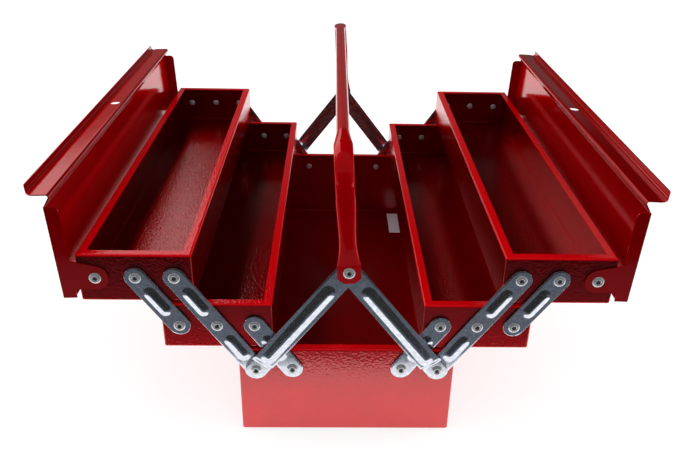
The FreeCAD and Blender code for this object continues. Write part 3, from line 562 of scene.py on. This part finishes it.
# Matt paper, a pale grey that is lifted to white for the eye and for reflections, and that still
# darkens where the object shades it.
sweep, shader, _ = new_material("white_paper_sweep",
                                {"Roughness": 0.9, "Specular IOR Level": 0.0})
shader.inputs["Base Color"].default_value = srgb(SWEEP_GREY)
lift = add_node(sweep, "ShaderNodeEmission", None, {"Color": WHITE})
amount = add_node(sweep, "ShaderNodeMath", {"operation": "MULTIPLY"})
join(sweep, seen_by(sweep, "Is Camera Ray", "Is Glossy Ray", "Is Transmission Ray"),
     amount.inputs[0])
amount.inputs[1].default_value = SWEEP_LIFT
join(sweep, amount.outputs[0], lift.inputs["Strength"])
both = add_node(sweep, "ShaderNodeAddShader")
join(sweep, shader.outputs[0], both.inputs[0])
join(sweep, lift.outputs[0], both.inputs[1])
join(sweep, both.outputs[0], sweep.node_tree.nodes["Material Output"].inputs["Surface"])
board("floor", sweep, (-SWEEP_SIZE, -SWEEP_SIZE, 0), (SWEEP_SIZE, SWEEP_SIZE, 0))


def scrim(name, level, colour="FFFFFF"):
    """A board's material, which shows one level of light and mirrors nothing."""
    material, shader, _ = new_material(name, {"Emission Strength": level,
                                              "Specular IOR Level": 0.0})
    shader.inputs["Base Color"].default_value = BLACK
    shader.inputs["Emission Color"].default_value = srgb(colour)
    return material


# The cool strip of floor in front gives the flats of the levers their tone, and the black one
# beyond it darkens the upper flanks of the ribs.  The rest keep the enamel deep.
black = scrim("black_board", 0.004)
dim = scrim("dim_board", 0.06)
grey = scrim("grey_scrim", 0.12)
top_grey = scrim("top_grey_board", 0.08)
cool = scrim("cool_grey_board", 0.125, "E0ECFF")
for name, material, low, high in (
    ("front_floor_board", cool, (-ROOM, STRIP_NEAR, ABOVE_FLOOR), (ROOM, STRIP_FAR, ABOVE_FLOOR)),
    ("far_floor_board", black, (-ROOM, -ROOM, ABOVE_FLOOR), (ROOM, STRIP_NEAR, ABOVE_FLOOR)),
    ("front_board", black, (-ROOM, -ROOM, 0), (ROOM, -ROOM, CEILING)),
    ("left_board", dim, (-ROOM, -ROOM, SIDE_FOOT), (-ROOM, LEFT_FAR, CEILING)),
    ("right_board", dim, (ROOM, -ROOM, SIDE_FOOT), (ROOM, ROOM, CEILING)),
    ("front_top_board", top_grey, (-ROOM, -ROOM, CEILING), (ROOM, TOP_SPLIT, CEILING)),
    ("back_top_board", black, (OPEN_EDGE, TOP_SPLIT, CEILING), (ROOM, ROOM, CEILING)),
    ("back_scrim", grey, (-ROOM, ROOM, SCRIM_FOOT), (ROOM, ROOM, SCRIM_TOP)),
    ("left_back_scrim", grey, (-ROOM, ROOM, SCRIM_TOP), (BAND_SPLIT, ROOM, BAND_TOP)),
    ("right_back_board", black, (BAND_SPLIT, ROOM, SCRIM_TOP), (ROOM, ROOM, BAND_TOP)),
    ("back_board", black, (OPEN_EDGE, ROOM, BAND_TOP), (ROOM, ROOM, CEILING)),
):
    flag = board(name, material, low, high)
    flag.visible_camera = False
    flag.visible_diffuse = False
    flag.visible_shadow = False
    flag.visible_transmission = False

# Two soft lamps at the sides, which no reflection shows.
for side in (-1, 1):
    softbox = bpy.data.lights.new("side_softbox", "AREA")
    softbox.shape = "RECTANGLE"
    softbox.size, softbox.size_y = LAMP_SIZE
    softbox.energy = LAMP_POWER
    lamp = bpy.data.objects.new("side_softbox", softbox)
    lamp.location = (side * LAMP_OUT, 0, LAMP_HEIGHT)
    lamp.visible_glossy = False
    lamp.rotation_euler = (0, side * math.radians(LAMP_TILT), 0)
    bpy.context.collection.objects.link(lamp)

world = bpy.data.worlds.new("world")
world.use_nodes = True
background = world.node_tree.nodes["Background"]
strength = add_node(world, "ShaderNodeMapRange", None, {"To Min": ROOM_LIGHT, "To Max": 1.0}, {
    "Value": seen_by(world, "Is Camera Ray", "Is Glossy Ray", "Is Transmission Ray")})
join(world, strength.outputs["Result"], background.inputs["Strength"])
background.inputs["Color"].default_value = WHITE
bpy.context.scene.world = world

bpy.context.scene.view_settings.view_transform = "Standard"
